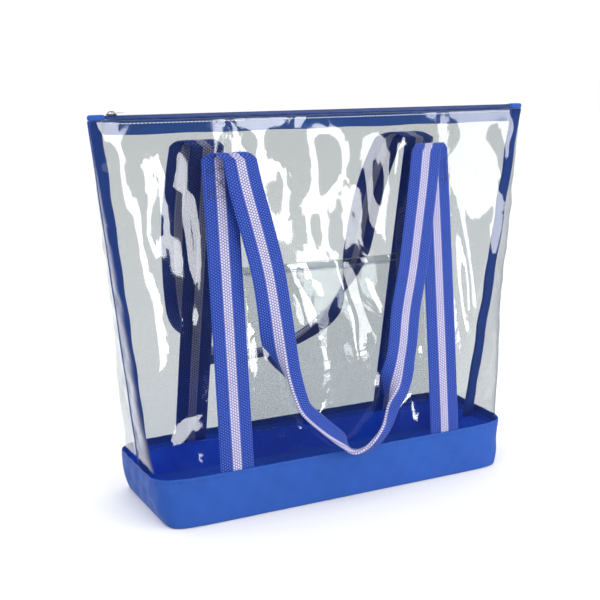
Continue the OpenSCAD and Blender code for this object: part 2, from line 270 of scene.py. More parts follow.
def thicken(piece, amount, offset=0.0):
    """Gives a sheet its thickness."""
    wall = piece.modifiers.new("thickness", "SOLIDIFY")
    wall.thickness, wall.offset, wall.use_even_offset = amount, offset, False
    return piece


def unit(v):
    return v / np.maximum(np.linalg.norm(v, axis=-1, keepdims=True), 1e-12)


def smoothstep(t):
    t = np.clip(t, 0, 1)
    return t * t * (3 - 2 * t)


def finish_piece(piece, material, body, slot, *nodes):
    """Gives a piece its material and its body, and hides the frame nodes that it stands for. The slot is
    not used.
    """
    piece.data.materials.clear()
    piece.data.materials.append(material)
    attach(piece, body)
    if nodes:
        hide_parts(*nodes)
    return piece


# ---- the shape of the bag ----

def level(z):
    return np.clip(z / sizes().height, 0, 1)


def half_width(z):
    """Half the top width, less the flare times (1 - level), less the tuck times exp(-level / 0.05)."""
    s, t = sizes(), level(z)
    return s.top_width / 2 - s.flare * (1 - t) - s.tuck * np.exp(-t / 0.05)


def half_depth(z):
    """Half the base depth, falling to half the mouth depth as level to the power 1.08."""
    s = sizes()
    return s.base_depth / 2 - (s.base_depth - s.mouth_depth) / 2 * level(z) ** 1.08


def squareness(z):
    """Exponent n of the section |x/a|^n + |y/b|^n = 1: nearly a rectangle at the floor and a lens at
    the mouth, 3 + 4.9 (1 - level)^0.7 + 7.2 exp(-level / 0.08)."""
    t = level(z)
    return 3 + 4.9 * (1 - t) ** 0.7 + 7.2 * np.exp(-t / 0.08)


def skin(q, z, d):
    """Point of the section at height z in direction q radians, pushed out by d along its normal."""
    q, z, d = np.broadcast_arrays(*(np.asarray(v, float) for v in (q, z, d)))
    turn = q + math.radians(10) * np.sin(4 * q)
    n, a, b = squareness(z), half_width(z), half_depth(z)
    c, s = np.cos(turn), np.sin(turn)
    k = (np.abs(c) ** n + np.abs(s) ** n) ** (-1 / n)
    gx = np.sign(c) * np.abs(c * k) ** (n - 1) / a
    gy = np.sign(s) * np.abs(s * k) ** (n - 1) / b
    g = np.hypot(gx, gy)
    return np.stack([a * c * k + d * gx / g, b * s * k + d * gy / g, z], axis=-1)


def face_y(x, z, d):
    """Depth of the front or back face at x: b (1 - |x/a|^n)^(1/n) + d."""
    n = squareness(z)
    inside = np.clip(1 - np.abs(x / half_width(z)) ** n, 1e-6, 1)
    return half_depth(z) * inside ** (1 / n) + d


def on_face(side, x, z, d):
    """Point of one face of the bag at x and z, pushed out by d."""
    x, z, d = np.broadcast_arrays(*(np.asarray(v, float) for v in (x, z, d)))
    return np.stack([x, side * face_y(x, z, d), z], axis=-1)


def seam_angle(z, y):
    """Angle that keeps a panel's edge about y from the side seam: asin(y / half depth) / 1.7."""
    return np.arcsin(np.minimum(0.9, y / half_depth(z))) / 1.7


def film_wave(side, across, z):
    """Soft waves and creases of a panel: sines with a drifting phase, plus ridges that are
    exp(-(n/w)^2) across and (1 - (t/L)^2)^2 along their line. Zero under the webbing and along seams."""
    s = sizes()
    shift = 0.0 if side == FRONT else 1.9
    x, h = across / MM, z / MM
    broad = (np.sin(TAU * x / 128 + 0.9 * np.sin(TAU * h / 260 + shift) + shift)
             + 0.6 * np.sin(TAU * (x * 0.93 + h * 0.36) / 83 + 2.1 + shift)
             + 0.45 * np.sin(TAU * (x * 0.5 - h * 0.8) / 140 + 0.7 - shift)
             + 0.10 * np.sin(TAU * (x * 0.97 - h * 0.2) / 41 + 1.3 * np.sin(TAU * h / 190) + shift))
    place = np.array(FRONT_CREASES if side == FRONT else BACK_CREASES)
    cx, cz, lean, half, wide, rise = (place[:, k].reshape(-1, 1, 1) for k in range(6))
    u, v = across[None] - cx, z[None] - cz
    along = u * np.cos(lean) + v * np.sin(lean)
    off = -u * np.sin(lean) + v * np.cos(lean) + 0.12 * along * along / half
    taper = np.clip(1 - (along / half) ** 2, 0, 1) ** 2
    ridges = (rise * np.exp(-(off / (1.5 * wide)) ** 2) * taper).sum(0)
    ends = smoothstep((z - s.rim_height) / 0.035) * smoothstep((s.height - 0.004 - z) / 0.030)
    clear = smoothstep((np.abs(np.abs(across) - LEG_X) - FLAT_HALF) / 0.022)
    return (s.ripple * broad + s.crease * ridges) * ends * clear


def seam_pucker(side, reach, z):
    """Short puckers that fade away from the side seam: exp(-reach / 20 mm) times two sines of height."""
    s = sizes()
    h = z / MM
    ends = smoothstep((z - s.rim_height) / 0.02) * smoothstep((s.height - 0.006 - z) / 0.03)
    wave = np.sin(TAU * h / 47 + side) + 0.7 * np.sin(TAU * h / 29 + 2.0 * side + 0.6)
    return 0.0010 * wave * np.exp(-reach / 0.020) * smoothstep(reach / 0.012) * ends


# ---- webbing ----

def strap_rings(centre, across, outward, fold, width, thick):
    """Rings of a flat strap: its cross-section is a strip with rounded edges, whose part beyond the
    fold line turns under through fold times 165 degrees with a small radius. The fold line moves from
    one side of the stripe to the other at the strap's middle. Also their uv, in metres."""
    travel = np.linspace(0, width, 41)                  # distance from the edge that stays
    dist = np.concatenate([[0], np.cumsum(np.linalg.norm(np.diff(centre, axis=0), axis=1))])
    bend_at = width * (0.37 + 0.17 * smoothstep((dist / dist[-1] - 0.42) / 0.16))[:, None]
    angle = fold[:, None] * FOLD_TURN * smoothstep((travel - bend_at) / FOLD_RUN)
    mid = (angle[:, 1:] + angle[:, :-1]) / 2
    step = np.diff(travel)
    in_w = width / 2 - np.concatenate(
        [np.zeros((len(fold), 1)), np.cumsum(np.cos(mid) * step, axis=1)], axis=1)
    in_n = -np.concatenate(
        [np.zeros((len(fold), 1)), np.cumsum(np.sin(mid) * step, axis=1)], axis=1)
    body = 0.5 * thick * np.minimum(1, (np.clip(1 - np.abs(2 * travel / width - 1) ** 14, 0, 1)) ** 0.5)
    body[0] = body[-1] = 0.5 * thick * 0.25
    along_n_w, along_n_n = -np.sin(angle), np.cos(angle)
    top_w, top_n = in_w + along_n_w * body, in_n + along_n_n * body
    low_w, low_n = in_w - along_n_w * body, in_n - along_n_n * body
    ring_w = np.concatenate([top_w, low_w[:, ::-1]], axis=1)
    ring_n = np.concatenate([top_n, low_n[:, ::-1]], axis=1)
    rings = centre[:, None] + across[:, None] * ring_w[..., None] + outward[:, None] * ring_n[..., None]
    flat = width / 2 - travel
    side_uv = np.concatenate([flat, flat[::-1]])
    uv = np.stack(np.broadcast_arrays(side_uv[None], dist[:, None]), axis=-1)
    return rings, uv


def smooth_stops(stops, n):
    """Catmull-Rom curve through the stops, n points for each stretch."""
    p = np.array(stops, float)
    a = np.concatenate([p[:1], p[:-1]])[:-1]
    b, c = p[:-1], p[1:]
    d = np.concatenate([p[1:], p[-1:]])[1:]
    t = (np.arange(n) / n)[None, :, None]
    a, b, c, d = (v[:, None] for v in (a, b, c, d))
    curve = 0.5 * (2 * b + (c - a) * t + (2 * a - 5 * b + 4 * c - d) * t * t
                   + (3 * b - a - 3 * c + d) * t ** 3)
    return np.concatenate([curve.reshape(-1, p.shape[1]), p[-1:]])


def loop_rings(side, route):
    """A handle's free loop: the smooth route on its side of the bag, with the webbing turned
    about the way it runs."""
    s = sizes()
    stops = np.array(route, float)
    stops[:, :3] *= MM
    at = on_face(side, stops[:, 0], stops[:, 2], stops[:, 1])
    line = smooth_stops(np.concatenate([at, stops[:, 3:]], axis=1), 14)
    centre, turn, fold = line[:, :3], np.radians(side * line[:, 3]), np.clip(line[:, 4], 0, 1)
    ahead = unit(np.gradient(centre, axis=0))
    place = np.arange(len(line))
    share = smoothstep(np.minimum(place, place[::-1]) / 24)[:, None]
    hang = np.where(place[:, None] < len(line) / 2, (0, 0, -1.0), (0, 0, 1.0))
    ahead = unit(ahead * share + hang * (1 - share))
    w0 = unit(np.cross(np.array([0, side, 0.0]), ahead))
    n0 = np.cross(ahead, w0)
    c, sn = np.cos(turn)[:, None], np.sin(turn)[:, None]
    return strap_rings(centre, w0 * c + n0 * sn, n0 * c - w0 * sn, fold,
                       s.webbing_width, s.webbing_thickness)


def leg_rings(side, x, shift):
    """A sewn leg: straight up the panel, then half a turn of radius CURL_R that brings it over."""
    s = sizes()
    mid = LEG_IN + s.webbing_thickness / 2
    top_z = LEG_TOP[side]
    z = np.linspace(LEG_FOOT, top_z, 60)
    flat = on_face(side, np.full(60, x), z, np.full(60, mid))
    turn = np.linspace(0, math.pi, 25)[1:]
    top_y = face_y(np.array([x]), np.array([top_z]), mid)[0]
    curl = np.stack([x + shift * turn / math.pi, side * (top_y + CURL_R * (1 - np.cos(turn))),
                     top_z + CURL_R * np.sin(turn)], axis=-1)
    centre = np.concatenate([flat, curl])
    across = np.broadcast_to(np.array([side, 0.0, 0.0]), centre.shape)
    outward = np.concatenate([
        np.broadcast_to(np.array([0.0, side, 0.0]), flat.shape),
        np.stack([0 * turn, side * np.cos(turn), np.sin(turn)], axis=-1)])
    return strap_rings(centre, across, outward, np.zeros(len(centre)), s.webbing_width,
                       s.webbing_thickness)


# ---- stitches ----

def stitch_shape():
    """One stitch: a capsule of 5 rings of 6 points, sinking at both ends like a pulled thread."""
    t = np.array([-1, -0.75, 0.0, 0.75, 1.0])
    size = np.array([0.35, 0.85, 1.0, 0.85, 0.35])
    a = np.arange(6) / 6 * TAU
    return np.stack(np.broadcast_arrays(
        t[:, None], np.cos(a)[None] * size[:, None],
        np.sin(a)[None] * size[:, None] - 0.6 * np.abs(t[:, None]) ** 3), axis=-1)


def stitch_row(name, lines, half_thick=0.00026, stitch=STITCH_LEN, step=STITCH_STEP):
    """Stitches along lines, each line (points, outward directions), evenly spaced by distance."""
    shape = stitch_shape()
    rows, around, _ = shape.shape
    all_points, all_faces, count = [], [], 0
    quads = grid_faces(rows, around, True)
    near = np.array([[0, 5, 4, 1], [1, 4, 3, 2]])
    far = (rows - 1) * around + np.array([[0, 1, 4, 5], [1, 2, 3, 4]])
    faces = np.concatenate([quads, near, far])
    for line, out in lines:
        run = np.concatenate([[0], np.cumsum(np.linalg.norm(np.diff(line, axis=0), axis=1))])
        number = max(1, int(run[-1] / step))
        at = (np.arange(number) + 0.5) * run[-1] / number
        middle, front, rear, up = (
            np.stack([np.interp(p, run, v[:, k]) for k in range(3)], axis=-1)
            for p, v in ((at, line), (at + stitch / 2, line), (at - stitch / 2, line), (at, out)))
        ahead, up = unit(front - rear), unit(up)
        side = np.cross(up, ahead)
        points = (middle[:, None, None] + ahead[:, None, None] * shape[..., 0:1] * stitch / 2
                  + side[:, None, None] * shape[..., 1:2] * half_thick
                  + up[:, None, None] * (shape[..., 2:3] + 0.5) * half_thick)
        all_points.append(points.reshape(-1, 3))
        all_faces.append((np.arange(number)[:, None, None] * rows * around + faces[None]
                          + count).reshape(-1, 4))
        count += number * rows * around
    return make_mesh(name, np.concatenate(all_points), np.concatenate(all_faces))


# ---- materials ----

class Nodes:
    """Short ways to add and join shader nodes."""

    def __init__(self, name):
        self.material = bpy.data.materials.new(name)
        self.material.use_nodes = True
        self.tree = self.material.node_tree
        self.tree.nodes.clear()
        self.out = self.add("ShaderNodeOutputMaterial")

    def add(self, kind, **values):
        node = self.tree.nodes.new(kind)
        for key, value in values.items():
            setattr(node, key, value)
        return node

    def put(self, socket, value):
        if isinstance(value, bpy.types.NodeSocket):
            self.tree.links.new(value, socket)
        elif isinstance(value, (tuple, list)) and len(value) == 3 and len(socket.default_value) == 4:
            socket.default_value = (*value, 1.0)
        else:
            socket.default_value = value

    def math(self, operation, a, b=0.0, c=0.0):
        node = self.add("ShaderNodeMath", operation=operation)
        for socket, value in zip(node.inputs, (a, b, c)):
            self.put(socket, value)
        return node.outputs[0]

    def mix(self, share, a, b):
        node = self.add("ShaderNodeMix", data_type="RGBA")
        for key, value in ((0, share), (6, a), (7, b)):
            self.put(node.inputs[key], value)
        return node.outputs[2]

    def ramp(self, value, low, high):
        """0 below low, 1 above high, and straight between them"""
        node = self.add("ShaderNodeValToRGB")
        for element, place in zip(node.color_ramp.elements, (low, high)):
            element.position = place
        self.put(node.inputs[0], value)
        return node.outputs[0]

    def place(self):
        return self.add("ShaderNodeTexCoord").outputs["Object"]

    def uv(self):
        split = self.add("ShaderNodeSeparateXYZ")
        self.put(split.inputs[0], self.add("ShaderNodeUVMap", uv_map="weave").outputs[0])
        return split.outputs[0], split.outputs[1]

    def noise(self, scale, detail=3.0, rough=0.5, vector=None, distortion=0.0):
        node = self.add("ShaderNodeTexNoise")
        self.put(node.inputs["Vector"], vector if vector is not None else self.place())
        node.inputs["Scale"].default_value = scale
        node.inputs["Detail"].default_value = detail
        node.inputs["Roughness"].default_value = rough
        node.inputs["Distortion"].default_value = distortion
        return node.outputs[0]

    def bump(self, height, distance, normal=None):
        node = self.add("ShaderNodeBump")
        node.inputs["Distance"].default_value = distance
        node.inputs["Strength"].default_value = 1.0
        self.put(node.inputs["Height"], height)
        if normal is not None:
            self.put(node.inputs["Normal"], normal)
        return node.outputs[0]

    def wave(self, value, period, phase=0.0):
        """sin(2 pi value / period + phase)"""
        return self.math("SINE", self.math("MULTIPLY_ADD", value, TAU / period, phase))

    def principled(self, base, roughness, normal=None, **values):
        node = self.add("ShaderNodeBsdfPrincipled")
        self.put(node.inputs["Base Color"], base)
        self.put(node.inputs["Roughness"], roughness)
        if normal is not None:
            self.put(node.inputs["Normal"], normal)
        for key, value in values.items():
            self.put(node.inputs[key.replace("_", " ")], value)
        self.tree.links.new(node.outputs[0], self.out.inputs[0])
        return node


def scaled(c, factor):
    return tuple(min(1.0, v * factor) for v in c)


def film_material():
    """Clear soft film: lets light straight through with a light tint, mirrors more at grazing angles,
    and has fine ripples."""
    n = Nodes("clear_film")
    ripples = n.noise(26.0, 2.0, 0.4, distortion=0.8)
    normal = n.bump(ripples, 0.0007)
    weight = n.add("ShaderNodeLayerWeight")
    weight.inputs["Blend"].default_value = 0.5
    n.put(weight.inputs["Normal"], normal)
    edge = n.math("POWER", weight.outputs["Facing"], 4.0)
    share = n.math("MULTIPLY_ADD", edge, FILM_GRAZING, FILM_HEAD_ON)
    clear = n.add("ShaderNodeBsdfTransparent")
    clear.inputs["Color"].default_value = (*colours().film, 1)
    gloss = n.add("ShaderNodeBsdfAnisotropic")
    gloss.inputs["Color"].default_value = (0.98, 0.99, 1.0, 1)
    gloss.inputs["Roughness"].default_value = 0.05
    n.put(gloss.inputs["Normal"], normal)
    top = n.add("ShaderNodeMixShader")
    n.put(top.inputs[0], share)
    n.put(top.inputs[1], clear.outputs[0])
    n.put(top.inputs[2], gloss.outputs[0])
    n.put(n.out.inputs[0], top.outputs[0])
    return n.material


def webbing_material():
    """Woven webbing: columns of warp dots, every other column shifted by half a rib, over weft ribs;
    a pale stripe of the same weave with dark gaps."""
    c, s = colours(), sizes()
    n = Nodes("striped_webbing")
    u, v = n.uv()
    column = n.math("FLOOR", n.math("DIVIDE", u, COLUMN))
    odd = n.math("MULTIPLY", n.math("ABSOLUTE", n.math("MODULO", column, 2.0)), 0.5)
    warp = n.math("ABSOLUTE", n.wave(u, 2 * COLUMN))
    rise = n.wave(n.math("MULTIPLY_ADD", odd, RIB, v), RIB)
    dots = n.math("MULTIPLY_ADD", rise, 0.5, 0.5)
    weave = n.math("MULTIPLY", dots, warp)
    stripe = n.math("LESS_THAN", n.math("ABSOLUTE", u), s.stripe_width / 2)
    patch = n.noise(60.0, 3.0, 0.6)
    blue = n.mix(n.ramp(weave, 0.12, 0.70), scaled(c.webbing, 0.55),
                 tuple(c.webbing_high))
    pale = n.mix(n.ramp(weave, 0.04, 0.40), tuple(c.stripe_mark), tuple(c.stripe))
    base = n.mix(stripe, blue, pale)
    base = n.mix(n.math("MULTIPLY", patch, 0.22), base, scaled(c.webbing, 0.45))
    rough = n.math("MULTIPLY_ADD", patch, 0.15, 0.58)
    n.principled(base, rough, n.bump(weave, 0.0003), Sheen_Weight=0.15, Sheen_Roughness=0.5,
                 Specular_IOR_Level=0.30)
    return n.material


def tape_material(name, base, period, gloss, rough):
    """Narrow woven tape: fine ribs both ways over a soft change of shade."""
    n = Nodes(name)
    u, v = n.uv()
    rib = n.wave(v, period)
    warp = n.wave(u, period * 0.8)
    weave = n.math("MULTIPLY", rib, warp)
    patch = n.noise(45.0, 3.0, 0.6)
    shade = n.mix(patch, scaled(base, 0.72), scaled(base, 1.32))
    shade = n.mix(n.math("MULTIPLY_ADD", weave, 0.18, 0.18), shade, scaled(base, 1.9))
    n.principled(shade, rough, n.bump(weave, 0.00012), Sheen_Weight=0.15, Specular_IOR_Level=gloss)
    return n.material


def cloth_material():
    """Base cloth: fine plain weave, small slubs and a soft change of shade, faintly coated."""
    c = colours().cloth
    n = Nodes("woven_cloth")
    u, v = n.uv()
    weave = n.math("MULTIPLY", n.wave(u, 0.0011), n.wave(v, 0.0011))
    slub = n.noise(900.0, 2.0, 0.6)
    patch = n.noise(14.0, 4.0, 0.55)
    soft = n.noise(70.0, 3.0, 0.5)
    shade = n.mix(patch, scaled(c, 0.80), scaled(c, 1.22))
    shade = n.mix(n.math("MULTIPLY_ADD", weave, 0.14, 0.14), shade, scaled(c, 1.7))
    shade = n.mix(n.math("MULTIPLY", slub, 0.25), shade, scaled(c, 0.55))
    # Painted light: past the start of its inside, the base takes a much brighter blue, as if more light
    # reached it.
    inside = n.math("GREATER_THAN", v, INSIDE_LIGHT_FROM)
    shade = n.mix(inside, shade, tuple(colours().inside_painted_light))
    normal = n.bump(n.math("ADD", weave, n.math("MULTIPLY", slub, 0.6)), 0.00010,
                    n.bump(soft, 0.0011))
    n.principled(shade, n.math("MULTIPLY_ADD", patch, 0.14, 0.50), normal, Sheen_Weight=0.08,
                 Specular_IOR_Level=0.3)
    return n.material


def thread_material(name, base):
    """Sewing thread: fine fuzz in its shade and its bump."""
    n = Nodes(name)
    fine = n.noise(1600.0, 2.0, 0.5)
    n.principled(n.mix(fine, scaled(base, 0.7), scaled(base, 1.5)), 0.55, n.bump(fine, 0.00008),
                 Sheen_Weight=0.3)
    return n.material


def metal_material(name, base, metallic, rough):
    """Small die-cast part: worn a little, with fine grain."""
    n = Nodes(name)
    grain = n.noise(700.0, 3.0, 0.6)
    n.principled(n.mix(grain, scaled(base, 0.85), scaled(base, 1.15)),
                 n.math("MULTIPLY_ADD", grain, 0.15, rough), n.bump(grain, 0.00002),
                 Metallic=metallic, Coat_Weight=0.4 if metallic < 0.5 else 0.0)
    return n.material


def coil_material():
    """Dyed nylon coil: satin with faint streaks."""
    c = colours().zip_coil
    n = Nodes("nylon_coil")
    streak = n.noise(500.0, 2.0, 0.5)
    n.principled(n.mix(streak, scaled(c, 0.8), scaled(c, 1.6)), 0.34, n.bump(streak, 0.00003),
                 Specular_IOR_Level=0.55)
    return n.material


def label_material():
    """White satin ribbon with a fine weave."""
    c = colours().label
    n = Nodes("label_ribbon")
    u, v = n.uv()
    weave = n.math("MULTIPLY", n.wave(u, 0.0007), n.wave(v, 0.0007))
    n.principled(n.mix(n.noise(300.0), scaled(c, 0.9), scaled(c, 1.08)), 0.45,
                 n.bump(weave, 0.00005), Sheen_Weight=0.2)
    return n.material


def floor_material():
    """Plain pale floor with a faint mottle."""
    n = Nodes("studio_floor")
    c = colours().floor
    n.principled(n.mix(n.noise(3.0), scaled(c, 0.985), tuple(c)), 0.9, Specular_IOR_Level=0.1,
                 Emission_Color=(1.0, 1.0, 1.0, 1), Emission_Strength=0.08)
    return n.material


def material(name, make, *values):
    """The material with that name, made when it is first asked for."""
    return bpy.data.materials.get(name) or make(*values)


def film():
    return material("clear_film", film_material)


def webbing():
    return material("striped_webbing", webbing_material)


def thread():
    return material("blue_thread", thread_material, "blue_thread", tuple(colours().thread))


# ---- pieces ----

def base_profile():
    """Heights of the base's wall and its distances outside the film: up the outside, over the hem and
    down the inside. Also how many of its points belong to the outside."""
    rim, out = sizes().rim_height, BASE_GAP + BASE_T
    up = np.concatenate([[0.0004, 0.0014, 0.003], np.linspace(0.006, rim - 0.0012, 34)])
    fold = np.linspace(0, math.pi, 7)
    down = np.linspace(rim - 0.0012, FLOOR_T, 20)
    z = np.concatenate([up, rim - 0.0010 + 0.0010 * np.sin(fold), down])
    d = np.concatenate([
        out - 0.0016 * np.exp(-up / 0.0008),
        (out + BASE_GAP) / 2 + BASE_T / 2 * np.cos(fold), np.full(20, BASE_GAP)])
    return z, d, len(up) + 4


def base_relief(x, h, outer):
    """How far the base's cloth stands out, in metres, x mm along the wall and h mm up: three sines that
    sag between the floor and the rim and, where outer is 1, the hem's fine puckers, the ridge of its
    folded edge and the groove of its stitches, each exp(-((h - place) / width)^2)."""
    pucker = 0.00022 * np.sin(TAU * x / 8.7 + np.sin(TAU * x / 61)) \
        * np.exp(-((h - 47.5) / 2.6) ** 2)
    sag = (0.0011 * np.sin(TAU * x / 97 + 0.8) * np.sin(math.pi * np.clip(h / 52, 0, 1))
           + 0.0008 * np.sin(TAU * (x + 0.9 * h) / 43 + 1.0)
           * np.sin(math.pi * np.clip(h / 52, 0, 1)) ** 2
           + 0.0004 * np.sin(TAU * (x - 0.6 * h) / 23))
    ridge = 0.00035 * np.exp(-((h - 43.5) / 1.3) ** 2) - 0.0003 * np.exp(-((h - 48) / 0.7) ** 2)
    return (sag * 0.85 + (pucker + ridge) * outer) * smoothstep(h / 12)


class BAG_OT_base(Operator):
    """Build the boxed fabric base with its folded hem"""
    bl_idname = "beach_bag.base"
    bl_label = "Fabric base"

    def execute(self, context):
        around = 480
        q = np.arange(around) / around * TAU
        z, d, outside = base_profile()
        walls = skin(q[None], z[:, None], d[:, None])
        run = np.concatenate([[0], np.cumsum(np.linalg.norm(
            np.diff(walls[10], axis=0, append=walls[10][:1]), axis=1))])[:-1]
        x = run[None] / MM
        outer = (np.arange(len(z)) < outside)[:, None]
        out_dir = unit(skin(q[None], z[:, None], d[:, None] + 0.001) - walls)
        walls = walls + out_dir * base_relief(x, z[:, None] / MM, outer)[..., None]
        # the underside and the floor inside are the wall's ends, drawn in towards the middle
        under = np.linspace(0, 1, 14)[1:-1]
        bottom = walls[0][None] * under[:, None, None]
        bottom[..., 2] = 0.0
        floor_in = np.linspace(1, 0, 16)[1:-1]
        inner = walls[-1][None] * floor_in[:, None, None]
        inner[..., 2] = FLOOR_T + np.abs(
            0.0008 * np.sin(TAU * x / 140) * np.sin(math.pi * floor_in)[:, None])
        rings = np.concatenate([bottom, walls, inner])
        rows = len(rings)
        reach = np.concatenate([under * 0.05, 0.05 + np.concatenate(
            [[0], np.cumsum(np.hypot(np.diff(z), np.diff(d)))]), 0.20 + 0.05 * (1 - floor_in)])
        uv = np.stack(np.broadcast_arrays(run[None], reach[:, None]), axis=-1)
        points = np.concatenate([rings.reshape(-1, 3), [[0, 0, 0], [0, 0, FLOOR_T]]])
        uv = np.concatenate([uv.reshape(-1, 2), [[0, 0], [0, 0.25]]])
        i = np.arange(around)
        k = (i + 1) % around
        fan = np.concatenate([
            np.stack([np.full(around, rows * around), k, i], axis=-1),
            np.stack([np.full(around, rows * around + 1), (rows - 1) * around + i,
                      (rows - 1) * around + k], axis=-1)])
        base = make_mesh("fabric_base", points, grid_faces(rows, around, True), uv, fan)
        finish_piece(base, material("woven_cloth", cloth_material), BODY, "base_cloth", "base_shell")
        return {"FINISHED"}


class BAG_OT_panels(Operator):
    """Build the two clear film panels with their waves, creases and seam puckers"""
    bl_idname = "beach_bag.panels"
    bl_label = "Film panels"

    def execute(self, context):
        s = sizes()
        for name, side in (("front", FRONT), ("back", BACK)):
            rows, columns = 150, 250
            z = np.linspace(LEG_FOOT - 0.002, s.height, rows)[:, None]
            start = -math.pi if side == FRONT else 0.0
            edge = seam_angle(z, 0.0018)
            share = np.linspace(0, 1, columns)[None]
            q = start + edge + (math.pi - 2 * edge) * share
            at = skin(q, z, 0.0)
            run = np.concatenate([np.zeros((rows, 1)), np.cumsum(
                np.linalg.norm(np.diff(at, axis=1), axis=2), axis=1)], axis=1)
            reach = np.minimum(run, run[:, -1:] - run)
            zz = np.broadcast_to(z, q.shape)
            fade = smoothstep(reach / 0.03)
            push = film_wave(side, at[..., 0], zz) * fade + seam_pucker(side, reach, zz)
            out = unit(skin(q, z, 0.001) - at)
            panel = make_mesh(f"{name}_film", at + out * push[..., None], grid_faces(rows, columns))
            thicken(panel, s.film_thickness)
            finish_piece(panel, film(), BODY, "film", f"{name}_panel")
        return {"FINISHED"}


class BAG_OT_bindings(Operator):
    """Build the tapes folded over the side seams, with their stitches"""
    bl_idname = "beach_bag.bindings"
    bl_label = "Seam bindings"

    def execute(self, context):
        s = sizes()
        tape = material("seam_binding", tape_material, "seam_binding", tuple(colours().binding),
                        0.0016, 0.35, 0.6)
        lines = []
        for name, side in (("left", LEFT), ("right", RIGHT)):
            z = np.linspace(LEG_FOOT - 0.002, s.height - 0.001, 140)
            h = z / MM
            sway = 0.0007 * np.sin(TAU * h / 74 + side) * smoothstep((z - 0.05) / 0.03)
            wide = 0.0130 + 0.0005 * np.sin(TAU * h / 51 + 1)
            x1 = side * (half_width(z) + 0.0004)
            a = np.arange(28) / 28 * TAU
            # a flat oval, |x|^6 + |y|^3 = 1
            ca, sa = np.cos(a), np.sin(a)
            r = (np.abs(ca) ** 6 + np.abs(sa) ** 3) ** (-1 / 3)
            u, v = np.clip(ca * r, -1, 1), np.clip(sa * r, -1, 1)
            mid = x1 - side * wide / 2
            rings = np.stack([mid[:, None] + side * -u[None] * wide[:, None] / 2,
                              sway[:, None] + side * v[None] * 0.0011 + 0 * mid[:, None],
                              np.broadcast_to(z[:, None], (140, 28))], axis=-1)
            rings = rings[:, ::-1]
            uv = np.stack(np.broadcast_arrays(u[None, ::-1] * 0.0065, z[:, None]), axis=-1)
            piece = closed_tube(f"{name}_binding", rings, uv)
            turn_outward(piece)
            finish_piece(piece, tape, BODY, "binding", f"{name}_seam_binding")
            for y in (-1, 1):
                at = np.stack([x1 - side * (wide - 0.0022), sway + y * 0.00115, z], axis=-1)
                lines.append((at, np.broadcast_to(np.array([0.0, y, 0.0]), at.shape)))
        finish_piece(stitch_row("binding_stitching", lines), thread(), BODY, "thread")
        return {"FINISHED"}


def turn_outward(piece):
    """Flips a closed mesh whose volume, the sum of a . (b x c) / 6, is negative."""
    mesh = piece.data
    mesh.calc_loop_triangles()
    points = np.zeros(len(mesh.vertices) * 3, np.float32)
    mesh.vertices.foreach_get("co", points)
    corners = np.zeros(len(mesh.loop_triangles) * 3, np.int32)
    mesh.loop_triangles.foreach_get("vertices", corners)
    p = points.reshape(-1, 3).astype(float)[corners.reshape(-1, 3)]
    if (p[:, 0] * np.cross(p[:, 1], p[:, 2])).sum() < 0:
        mesh.flip_normals()


class BAG_OT_facings(Operator):
    """Build the tapes under the film along the mouth and the rows of stitches that hold them"""
    bl_idname = "beach_bag.facings"
    bl_label = "Mouth facings"

    def execute(self, context):
        s = sizes()
        tape = material("mouth_facing", tape_material, "mouth_facing", tuple(colours().facing),
                        0.0014, 0.5, 0.42)
        for name, side in (("front", FRONT), ("back", BACK)):
            x = np.linspace(-0.247, 0.247, 260)[:, None]
            z = np.linspace(s.height - 0.0145, s.height - 0.0005, 9)[None]
            drop = 0.0003 * np.sin(TAU * x / 0.037) * np.ones_like(z)
            at = on_face(side, x, z, -0.0011 + drop * np.clip((s.height - z) / 0.014, 0, 1))
            at[..., 2] += 0.0004 * np.sin(TAU * x / 0.091) * (s.height - z) / 0.014
            uv = np.stack(np.broadcast_arrays(z, x), axis=-1)
            faces = grid_faces(260, 9)
            piece = make_mesh(f"{name}_facing", at, faces if side == FRONT else faces[:, ::-1], uv)
            thicken(piece, 0.0008)
            finish_piece(piece, tape, BODY, "facing", f"{name}_top_facing")
            xs = np.linspace(-0.243, 0.243, 260)
            line = on_face(side, xs, np.full(260, s.height - 0.0036), np.full(260, 0.0004))
            out = np.broadcast_to(np.array([0.0, side, 0.15]), line.shape)
            row = stitch_row(f"{name}_mouth_stitching", [(line, out)], 0.00045)
            # Near-white thread for these stitches: painted glints of the film along the stitch row.
            pale = material("pale_thread", thread_material, "pale_thread",
                            tuple(colours().mouth_glint_thread))
            finish_piece(row, pale, BODY, "thread", f"{name}_top_stitching")
        return {"FINISHED"}


def coil_rings(side):
    """One half of the chain: an oval helix, carried by a small round wire. The back half is moved on by
    half a turn."""
    per_turn, around, wire_r = 12, 5, 0.00034
    turns = int(2 * CHAIN_HALF / COIL_PITCH)
    k = np.arange(turns * per_turn + 1) / per_turn
    a = TAU * k
    chain_z = sizes().height + CHAIN_RISE
    line = np.stack([-CHAIN_HALF + k * COIL_PITCH + (0.0 if side == FRONT else COIL_PITCH / 2),
                     side * 0.00128 + 0.00080 * np.cos(a),
                     chain_z + 0.0006 + 0.00062 * np.sin(a)], axis=-1)
    ahead = unit(np.gradient(line, axis=0))
    out = np.stack([0 * a, np.cos(a), np.sin(a)], axis=-1)
    out = unit(out - (out * ahead).sum(1, keepdims=True) * ahead)
    cross = np.cross(ahead, out)
    w = np.arange(around) / around * TAU
    return (line[:, None] + wire_r * (out[:, None] * np.cos(w)[None, :, None]
                                      + cross[:, None] * np.sin(w)[None, :, None]))


